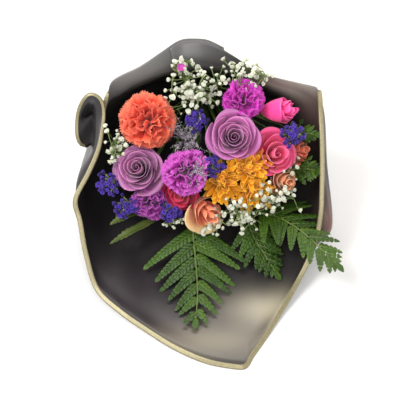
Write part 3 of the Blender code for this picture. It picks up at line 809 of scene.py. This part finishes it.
def stalk(work, node, root):
    """The stem of a sprig, along its CAD run from the cut end to its head."""
    points = np.array([v.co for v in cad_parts[node].data.vertices])
    ahead = (points - ORIGIN - WAIST) @ AXIS
    order = np.argsort(ahead)
    order = order[ahead[order] < (root - ORIGIN - WAIST) @ AXIS - STALK_ENDS]
    groups = np.split(order, np.nonzero(np.diff(ahead[order]) > STALK_GAP)[0] + 1)
    knots = np.array([points[group].mean(axis=0) for group in groups] + [root])
    line = smooth_line(knots, 8 * len(knots))
    work.tube(line, np.linspace(0.0013, 0.0010, len(line)), 7, 0.4, 1)


def statice(name, middle_mm, facing, reach, count, skins, seed):
    """A one-sided comb of papery trumpets on its stem."""
    rng = random.Random(seed)
    work = Patchwork()
    front = unit(facing)
    middle = metres(middle_mm)
    kinds = [floret(5, 0.0052, 0.0021, 0.62, 0.5, rng) for _ in range(4)]
    root = middle - front * reach * 0.9
    stalk(work, name, root)
    for k in range(count):
        way = unit(jitter(rng, 1.0) * (1.0, 1.0, 0.9) + front * 0.9)
        place = middle + way * reach * rng.uniform(0.35, 1.0) * (1.0, 1.0, 0.85)
        look = unit(way + front * 0.5 + jitter(rng, 0.25))
        put_floret(work, kinds[k % 4], place, look, rng.uniform(0.85, 1.25), rng.uniform(0, ANY_ROLL), rng.random())
        foot = place - look * 0.001
        knee = root + (foot - root) * 0.5 + jitter(rng, 0.0015)
        work.tube([root, knee, foot], [0.0009, 0.0008, 0.0012], 5, rng.random(), 1)
    work.finish(name + "_florets", skins, name, thick=0.0002)


def babys_breath(name, clouds, facing, skins, seed, bud=None):
    """Clouds of small double florets on hair-thin forking stalks."""
    rng = random.Random(seed)
    work = Patchwork()
    front = unit(facing)
    kinds = [floret(5, 0.0040, 0.0022, 0.95, 0.7, rng, ranks=2) for _ in range(5)]
    first = None
    for middle_mm, spread_mm, count in clouds:
        middle = metres(middle_mm)
        spread = np.array(spread_mm) / 1000
        root = middle - front * spread.max() * 1.15
        if first is None:
            first = root
            stalk(work, name, root)
        else:
            bow = (first + root) / 2 - front * 0.002
            work.tube([first, bow, root], [0.0006, 0.0005, 0.0005], 5, 0.5, 1)
        forks = []
        for _ in range(max(3, count // 6)):
            fork = middle + np.clip(jitter(rng, 0.5), -1, 1) * spread - front * spread.max() * 0.25
            forks.append(fork)
            bow = (root + fork) / 2 + jitter(rng, 0.002)
            work.tube([root, bow, fork], [0.0006, 0.0005, 0.0004], 5, rng.random(), 1)
        for k in range(count):
            place = middle + np.clip(jitter(rng, 0.58), -1.15, 1.15) * spread
            fork = min(forks, key=lambda p: np.linalg.norm(p - place) + rng.uniform(0, 0.004))
            look = unit(unit(place - fork) + front * 0.8 + jitter(rng, 0.3))
            bow = (fork + place) / 2 + jitter(rng, 0.0012)
            work.tube([fork, bow, place], [0.0004, 0.00032, 0.0006], 4, rng.random(), 1)
            scale = rng.uniform(0.62, 1.28)
            put_floret(work, kinds[k % 5], place, look, scale, rng.uniform(0, ANY_ROLL), rng.random())
    if bud:
        place = metres(bud)
        work.tube([place - front * 0.03, place - front * 0.012, place], [0.0005, 0.0006, 0.0018], 6, 0.5, 1)
        for k, scale in enumerate((1.9, 1.6, 1.2)):
            put_floret(work, kinds[k], place + front * 0.001 * k, front, scale, k * 1.1, rng.random(), 2)
    work.finish(name + "_florets", skins, name, thick=0.00015)


def caspia(name, middle_mm, facing, reach, count, skins, seed):
    """Fine grey-lilac twigs set with specks of florets."""
    rng = random.Random(seed)
    work = Patchwork()
    front = unit(facing)
    middle = metres(middle_mm)
    root = middle - front * reach * 1.2
    stalk(work, name, root)
    speck = floret(4, 0.0016, 0.0006, 0.5, 0.4, rng)
    for k in range(count):
        end = middle + np.clip(jitter(rng, 0.6), -1.1, 1.1) * reach
        bow = root + (end - root) * 0.55 + jitter(rng, 0.003)
        steps = np.linspace(0, 1, 6)[:, None]
        path = (1 - steps) ** 2 * root + 2 * steps * (1 - steps) * bow + steps**2 * end
        path = path + np.array([jitter(rng, 0.0008) for _ in range(6)])
        work.tube(path, np.linspace(0.0005, 0.0002, 6), 4, rng.random(), 1)
        for n in range(9):
            share = rng.uniform(0.35, 1.0)
            spot = path[int(share * 5)] + jitter(rng, 0.0012)
            look = unit(front + jitter(rng, 0.7))
            put_floret(work, speck, spot, look, 1.0, rng.uniform(0, ANY_ROLL), rng.random())
    work.finish(name + "_florets", skins, name, thick=0.0001)


# ---------------------------------------------------------------- leaves

ON_FILM = 0.0010  # the height above the surface at which leaflets rest on the film


def fern(name, points_mm, half_mm, pairs, skins, seed, tilt=(0, 0, 1), lean=0.95, bare=0.0):
    """A leatherleaf frond: stalk, side branches and lobed leaflets, each folded at its rib."""
    rng = random.Random(seed)
    work = Patchwork()
    spine = smooth_line(metres(points_mm), 60)
    along = unit(np.gradient(spine, axis=0))
    stalk(work, name, spine[0])
    work.tube(spine, np.linspace(0.0012, 0.0004, len(spine)), 6, 0.3, 1)
    for n in range(pairs):
        share = bare + (1 - bare) * ((n + 0.4) / (pairs + 0.2)) ** 0.93
        k = min(int(share * (len(spine) - 1)), len(spine) - 2)
        long = half_mm / 1000 * (1 - share) ** 0.72 * (0.88 + 0.12 * min(1.0, share * 6)) + 0.005
        for hand in (-1, 1):
            forward = along[k]
            across = unit(np.cross(forward, tilt)) * hand
            up = unit(np.cross(across, forward)) * hand
            angle = lean * (1 - 0.30 * share) + rng.uniform(-0.07, 0.07)
            way = forward * math.cos(angle) + across * math.sin(angle)
            droop = up * rng.uniform(-0.14, 0.06)
            foot = spine[k] + along[k] * 0.002 * hand
            leaflet_row(work, foot, unit(way + droop), up, long * rng.uniform(0.9, 1.06), rng)
    leaflet(work, spine[-2], along[-1], unit(tilt), 0.014, 0.0042, 0.5)
    work.rest_above(ON_FILM)
    work.finish(name + "_leaflets", skins, name, thick=0.00035)


LEAFLET_GAP = 0.0054
SHORT_BRANCH = 0.018  # a branch shorter than this is a single leaflet


def leaflet_row(work, foot, way, up, long, rng):
    """One side branch with its pairs of leaflets and an end leaflet."""
    if long < SHORT_BRANCH:
        leaflet(work, foot, way, up, long, long * 0.22, rng.random())
        return
    count = max(3, int(long / LEAFLET_GAP))
    side = unit(np.cross(way, up))
    tip = foot + way * long
    bow = up * long * 0.04
    steps = np.linspace(0, 1, 6)[:, None]
    rib = foot + (tip - foot) * steps + bow * np.sin(steps * 3.14)
    work.tube(rib, np.linspace(0.0006, 0.0002, 6), 4, 0.3, 1)
    chance = rng.random()
    for n in range(count):
        share = (n + 0.45) / count
        spot = foot + (tip - foot) * share + bow * math.sin(share * 3.14)
        size = (0.0044 + 0.092 * long) * (1 - share) ** 0.45 + 0.0012
        for hand in (-1, 1):
            angle = 0.80 - 0.30 * share
            out = unit(way * math.cos(angle) + side * hand * math.sin(angle) + up * rng.uniform(-0.10, 0.05))
            leaflet(work, spot, out, up, size, 0.0009 + size * 0.36, chance * 0.6 + 0.4 * rng.random())
    leaflet(work, foot + (tip - foot) * 0.90, way, up, long * 0.14 + 0.002, long * 0.035 + 0.0008, chance)


def leaflet(work, foot, way, up, long, half, chance):
    """A toothed blade, folded a little along its rib."""
    t, s = (share[..., None] for share in net(6, 5))
    side = unit(np.cross(way, up))
    width = half * np.sin(math.pi * np.minimum(0.97, 0.16 + 0.81 * t)) ** 0.7
    width = width * (1 + 0.16 * np.cos(t * 22))
    grid = foot + way * long * t + side * s * width + up * np.abs(s) * width * 0.22
    work.grid(grid - up * long * 0.10 * t**2, t, s, chance)


def blade(name, points_mm, half_mm, skins, seed):
    """A narrow pointed leaf with a folded midrib and a toothed, wavy margin."""
    rng = random.Random(seed)
    work = Patchwork()
    spine = smooth_line(metres(points_mm), 26)
    stalk(work, name, spine[0])
    along = unit(np.gradient(spine, axis=0))
    side = unit(np.cross(along, (0.0, 0.0, 1.0)))
    up = unit(np.cross(side, along))
    t, s = (share[..., None] for share in net(26, 9))
    width = half_mm / 1000 * np.sin(math.pi * np.minimum(0.985, 0.06 + 0.93 * t)) ** 0.9
    width = width * (1 + 0.22 * np.cos(t * 75))
    wave = width * 0.10 * np.sin(t * 19 + 2 * np.sign(s)) * np.abs(s)
    grid = spine[:, None] + side[:, None] * s * width + up[:, None] * (np.abs(s) * width * 0.35 + wave)
    work.grid(grid, t, s, rng.random())
    work.finish(name + "_blade", skins, name, thick=0.0004)


# ---------------------------------------------------------------- the bouquet's pieces


# CAD node: material name, the colours of foot, middle and rim, how strong the veins are, then
# where the rim colour begins and the colour of the bloom's heart, where they differ from the rest.
# The foot colours are darker partly as the blooms' own colour and partly as painted shade of the hollows between
# petals.
BLOOM_SKINS = {
    "carnation_orange": (
        "orange_petal", (0.74, 0.028, 0.018), (0.86, 0.09, 0.042), (0.78, 0.20, 0.10), 0.2, 0.82, (0.86, 0.05, 0.028)
    ),
    "carnation_magenta": ("magenta_petal", (0.13, 0.003, 0.09), (0.42, 0.018, 0.34), (0.62, 0.10, 0.55), 0.3, 0.85),
    "carnation_upper": ("upper_magenta_petal", (0.22, 0.004, 0.15), (0.56, 0.015, 0.43), (0.64, 0.06, 0.52), 0.25),
    "carnation_purple": ("purple_petal", (0.10, 0.004, 0.09), (0.30, 0.02, 0.28), (0.52, 0.10, 0.50), 0.3),
    "rose_lavender_right": ("lavender_petal", (0.20, 0.035, 0.17), (0.52, 0.145, 0.40), (0.62, 0.23, 0.50), 0.1),
    "rose_lavender_left": ("dusky_lavender_petal", (0.11, 0.02, 0.11), (0.48, 0.155, 0.38), (0.58, 0.24, 0.48), 0.12),
    "rose_hot_pink": ("hot_pink_petal", (0.66, 0.008, 0.10), (0.94, 0.06, 0.32), (0.95, 0.11, 0.40), 0.1),
    "rose_pink_open": ("pink_petal", (0.88, 0.035, 0.14), (0.97, 0.10, 0.30), (0.98, 0.20, 0.40), 0.1),
    "rose_crimson": ("crimson_petal", (0.30, 0.0, 0.02), (0.72, 0.018, 0.10), (0.80, 0.05, 0.16), 0.12),
    "rose_peach": ("peach_petal", (0.90, 0.14, 0.055), (0.97, 0.31, 0.15), (0.97, 0.38, 0.21), 0.1),
    "rose_salmon": ("salmon_petal", (0.60, 0.14, 0.05), (0.78, 0.30, 0.13), (0.86, 0.42, 0.24), 0.12),
    "rose_coral": ("coral_petal", (0.66, 0.05, 0.03), (0.86, 0.17, 0.09), (0.92, 0.30, 0.18), 0.12),
}
# CAD node, the way it looks, radius, height, seed, petals.
CARNATIONS = (
    ("carnation_orange", (-0.1, -0.62, 0.78), 0.0335, 0.044, 11, 50),
    ("carnation_magenta", (0.0, -0.7, 0.7), 0.0295, 0.036, 12, 42),
    ("carnation_upper", (0.1, -0.5, 0.85), 0.0265, 0.036, 13, 38),
    ("carnation_purple", (-0.25, -0.85, 0.45), 0.0245, 0.032, 14, 36),
)
# The same, then how far open it is, how far it leans to one side, and how pointed its petals are.
ROSES = (
    ("rose_lavender_right", (0.0, -0.70, 0.71), 0.0290, 0.050, 1, 24, 1.0, 0.14),
    ("rose_lavender_left", (-0.12, -0.62, 0.77), 0.0310, 0.044, 2, 22, 1.0),
    ("rose_hot_pink", (0.86, -0.40, 0.30), 0.0245, 0.047, 3, 12, 0.30, 0.0, 0.25),
    ("rose_pink_open", (0.20, -0.66, 0.70), 0.0305, 0.043, 4, 14, 0.95, 0.06),
    ("rose_crimson", (-0.1, -0.85, 0.5), 0.0245, 0.032, 5, 15, 0.9),
    ("rose_peach", (0.40, -0.88, 0.25), 0.0255, 0.047, 6, 11, 0.6),
    ("rose_salmon", (0.45, -0.75, 0.4), 0.0210, 0.032, 7, 14, 0.9),
    ("rose_coral", (0.6, -0.5, 0.55), 0.0200, 0.032, 8, 14, 0.7),
)
# CAD node, the way it looks, radius, seed.
MUMS = (
    ("mum_upper", (0.15, -0.62, 0.78), 0.0300, 21),
    ("mum_left", (-0.05, -0.78, 0.62), 0.0305, 22),
    ("mum_lower", (0.2, -0.80, 0.55), 0.0300, 23),
)


def flowers():
    skins = {node: petal_skin(*look) for node, look in BLOOM_SKINS.items()}
    straw = petal_skin("straw_petal", (0.80, 0.42, 0.16), (0.88, 0.58, 0.28), (0.86, 0.66, 0.36), 0.1)
    for node, facing, radius, height, *build in CARNATIONS:
        carnation(node, facing, radius, height, skins[node], *build)
    for node, facing, radius, height, *build in ROSES:
        guard = {"guard_skin": straw} if node == "rose_peach" else {}
        rose(node, facing, radius, height, skins[node], *build, **guard)
    gold = petal_skin("golden_petal", (0.44, 0.12, 0.005), (0.92, 0.42, 0.006), (0.94, 0.50, 0.02), 0.2, 0.9)
    tuft = petal_skin("golden_tuft", (0.35, 0.10, 0.01), (0.70, 0.30, 0.01), (0.85, 0.42, 0.03), 0.2)
    for node, facing, radius, seed in MUMS:
        mum(node, facing, radius, [gold, tuft], seed)


# CAD node, middle in millimetres, the way it looks, reach, florets, seed.
STATICE = (
    ("statice_top", (-4, 88, 152), (0, -0.6, 0.8), 0.013, 46, 31),
    ("statice_middle", (16, 42, 117), (0.1, -0.7, 0.7), 0.012, 40, 32),
    ("statice_right", (112, 72, 142), (0.4, -0.6, 0.7), 0.0145, 56, 33),
    ("statice_left", (-112, 40, 90), (-0.5, -0.6, 0.6), 0.0145, 56, 34),
    ("statice_lower_left", (-90, 24, 66), (-0.3, -0.8, 0.4), 0.0155, 58, 35),
    ("statice_lower", (-36, 20, 62), (-0.2, -0.8, 0.4), 0.014, 50, 36),
)
# CAD node, the way it looks, seed, then each cloud's middle and spread in millimetres and its florets.
BABYS_BREATH = (
    ("babys_breath_top", (0, -0.5, 0.85), 41, (
        ((-12, 104, 180), (27, 20, 24), 92), ((-22, 132, 202), (15, 12, 14), 24), ((24, 120, 190), (22, 14, 16), 26),
    )),
    ("babys_breath_upper", (0.1, -0.5, 0.85), 43, (
        ((62, 122, 192), (22, 12, 14), 46), ((46, 134, 200), (14, 8, 8), 12),
    )),
    ("babys_breath_left", (-0.4, -0.5, 0.75), 45, (((-102, 66, 122), (12, 18, 20), 44),)),
    ("babys_breath_front", (0.2, -0.8, 0.5), 46, (
        ((50, 8, 66), (26, 14, 18), 84), ((14, 0, 52), (12, 6, 8), 14), ((-32, 6, 54), (12, 6, 6), 12),
    )),
    ("babys_breath_right", (0.3, -0.7, 0.6), 47, (
        ((92, 24, 82), (26, 16, 16), 66), ((112, 52, 100), (10, 12, 12), 12),
    )),
)
BUD = (-23, 126, 200)  # one magenta bud among the top florets


def fillers():
    green = leaf_skin("sprig_stalk", (0.10, 0.16, 0.04), (0.26, 0.34, 0.12), 0.5)
    violet = petal_skin("statice_petal", (0.012, 0.003, 0.06), (0.040, 0.008, 0.27), (0.080, 0.022, 0.50), 0.35)
    for node, middle, facing, reach, count, seed in STATICE:
        statice(node, middle, facing, reach, count, [violet, green], seed)
    white = petal_skin("babys_breath_petal", (0.52, 0.56, 0.30), (0.74, 0.75, 0.60), (0.84, 0.84, 0.74), 0.12)
    magenta = petal_skin("bud_petal", (0.30, 0.01, 0.16), (0.62, 0.05, 0.42), (0.75, 0.15, 0.60), 0.1)
    for node, facing, seed, clouds in BABYS_BREATH:
        budded = node == "babys_breath_top"
        skins = [white, green, magenta] if budded else [white, green]
        babys_breath(node, clouds, facing, skins, seed, BUD if budded else None)
    dry = petal_skin("caspia_petal", (0.30, 0.24, 0.32), (0.48, 0.41, 0.50), (0.62, 0.56, 0.64), 0.2)
    twig = leaf_skin("caspia_twig", (0.22, 0.22, 0.20), (0.42, 0.41, 0.38), 0.6)
    caspia("caspia_top", (-18, 64, 150), (0, -0.6, 0.8), 0.031, 56, [dry, twig], 51)
    caspia("caspia_middle", (-9, 16, 134), (0, -0.7, 0.7), 0.021, 30, [dry, twig], 52)


SIDEWAYS = (-0.3, -0.5, 0.8)  # the way the two fronds at the side lie open
# CAD node, spine in millimetres, half width, pairs of branches, seed, then what differs from the rest.
FERNS = (
    ("fern_front", ((-10, 34, 30), (-8, 4, 24), (-5, -30, 15), (-3, -70, 10), (-5, -108, 7)), 78, 7, 61, {"bare": 0.1}),
    (
        "fern_right", ((78, 34, 44), (100, 14, 54), (124, -14, 60), (146, -42, 58), (162, -58, 51)),
        56, 9, 62, {"lean": 0.9},
    ),
    ("fern_right_inner", ((62, 30, 30), (70, 8, 22), (82, -14, 16), (94, -36, 10)), 42, 7, 63, {"lean": 0.9}),
    (
        "fern_side_upper", ((110, 100, 110), (124, 98, 120), (135, 90, 128), (142, 84, 132)),
        20, 5, 64, {"tilt": SIDEWAYS},
    ),
    ("fern_side_lower", ((118, 72, 84), (130, 64, 92), (139, 56, 98), (144, 50, 102)), 22, 5, 65, {"tilt": SIDEWAYS}),
)
LEAVES = (
    ("leaf_left", ((-58, 40, 44), (-78, 28, 52), (-98, 16, 52), (-113, 8, 48)), 7.0, 66),
    ("leaf_left_lower", ((-48, 36, 34), (-70, 18, 38), (-94, 2, 36), (-113, -10, 32)), 6.0, 67),
)


def greens():
    deep = leaf_skin("fern_leaf", (0.010, 0.040, 0.002), (0.062, 0.135, 0.008), 0.42)
    green = leaf_skin("fern_stalk", (0.10, 0.16, 0.03), (0.22, 0.28, 0.08), 0.45)
    olive = leaf_skin("olive_leaf", (0.065, 0.095, 0.015), (0.19, 0.23, 0.06), 0.45)
    for node, spine, half, pairs, seed, more in FERNS:
        fern(node, spine, half, pairs, [deep, green], seed, **more)
    for node, spine, half, seed in LEAVES:
        blade(node, spine, half, [olive, green], seed)


# ---------------------------------------------------------------- stems and ties


def stem_skin():
    """Green stem: fibres along it, darker blotches, a dull wax."""
    shader = Shader("stem_bark", Roughness=0.48)
    fibre = shader.noise(1.0, 4.0, 0.6, (240, 26, 240))
    both = shader.weigh(fibre, 0.45, shader.noise(38.0, 2.0, 0.5), 0.5)
    shader.bump(fibre, 0.4, 0.0006)
    colours = [(0.30, (0.035, 0.085, 0.015)), (0.55, (0.10, 0.19, 0.04)), (0.72, (0.20, 0.26, 0.08))]
    return shader.paint(shader.ramp(colours, both))


def stems():
    """The stems keep their CAD run, rounded off."""
    bark = stem_skin()
    for node, cad in sorted(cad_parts.items()):
        if not node.endswith("_stem"):
            continue
        mesh = bpy.data.meshes.new(node + "_round")
        shape = bmesh.new()
        shape.from_mesh(cad.data)
        bmesh.ops.remove_doubles(shape, verts=shape.verts, dist=1e-6)
        shape.to_mesh(mesh)
        shape.free()
        mesh.materials.clear()
        mesh.materials.append(bark)
        mesh.polygons.foreach_set("material_index", [0] * len(mesh.polygons))
        mesh.polygons.foreach_set("use_smooth", [True] * len(mesh.polygons))
        made = new_object(node + "_round", mesh)
        rounding = made.modifiers.new("Rounding", "SUBSURF")
        rounding.levels = rounding.render_levels = 2
        stands_for(made, node)


def round_waist(turn, reach, ahead):
    """A place round the waist, reach out from the bundle's middle line."""
    way = ACROSS * np.cos(turn)[..., None] + UPWARD * np.sin(turn)[..., None]
    return WAIST + ORIGIN + way * np.asarray(reach)[..., None] + AXIS * np.asarray(ahead)[..., None]


def cloth_skin(name, dark, light, rough, weave):
    shader = Shader(name, Roughness=rough, Sheen_Weight=0.4)
    thread = shader.noise(weave, 3.0, 0.6)
    shader.bump(thread, 0.4, 0.0003)
    return shader.paint(shader.ramp([(0.35, dark), (0.65, light)], thread))


def twine():
    """Two twisted strands, three times round the stems."""
    low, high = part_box("stem_band")
    radius = (high.x - low.x) / 2 - 0.0008
    work = Patchwork()
    turns = np.linspace(0, 3 * FULL_TURN, 361)
    for strand in (0, math.pi):
        twist = turns * 16 + strand
        reach = radius + 0.00045 * np.cos(twist)
        ahead = (turns / turns[-1] - 0.5) * 0.0042 + 0.00045 * np.sin(twist)
        work.tube(round_waist(turns, reach, ahead), np.full(len(turns), 0.0006), 6, 0.5)
    skin = cloth_skin("jute", (0.22, 0.15, 0.08), (0.46, 0.35, 0.20), 0.85, 900.0)
    work.finish("twine", [skin], "stem_band")


RIBBON_HALF = 0.0055


def ribbon():
    """A satin ribbon wound over the film at the waist, with a flat knot and two short tails."""
    low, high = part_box("ribbon_band")
    radius = (high.x - low.x) / 2 - 0.0006
    work = Patchwork()
    s = np.linspace(-1, 1, 7)[None, :]
    turns = np.linspace(0, 2.4 * FULL_TURN, 220)[:, None]
    reach = radius + 0.00055 * turns / FULL_TURN + 0.0004 * np.cos(s * 3.14) + 0 * turns
    ahead = s * RIBBON_HALF + 0.0016 * np.sin(turns * 0.42)
    work.grid(round_waist(turns + 0 * s, reach, ahead), turns / 15.0, s, 0.5)
    knot = np.linspace(0, 2 * math.pi, 41)[:, None]
    side = s * 0.0042
    high_up = radius + 0.0030 + 0.0030 * np.cos(knot) + 0.0004 * np.cos(s * 3.14)
    along = 0.0072 * np.sin(knot) + 0 * s
    work.grid(round_waist(math.pi / 2 + side / radius + 0 * knot, high_up, along), knot / FULL_TURN, s, 0.7)
    t = np.linspace(0, 1, 30)[:, None]
    for hand in (-1, 1):
        notch = 0.10 * np.abs(s) * np.clip((t - 0.85) / 0.15, 0, 1)
        run = t * (0.9 + notch)
        up = radius + 0.0040 + 0.0035 * np.sin(run * 5.0) + 0.0060 * run
        back = -0.004 - 0.058 * run
        lean = math.pi / 2 + hand * (0.14 + 0.75 * run) + s * (RIBBON_HALF * 0.85) / (radius + 0.004)
        curl = 0.0012 * s * np.sin(run * 7 + hand)
        work.grid(round_waist(lean, up + curl, back + 0 * s), t, s, 0.4 + 0.1 * hand)
    skin = cloth_skin("satin_ribbon", (0.30, 0.22, 0.09), (0.50, 0.40, 0.18), 0.32, 1400.0)
    work.finish("ribbon", [skin], "ribbon_band", thick=0.0003)


camera()
lights()
floor()
wrap_sheet()
stems()
twine()
ribbon()
flowers()
fillers()
greens()
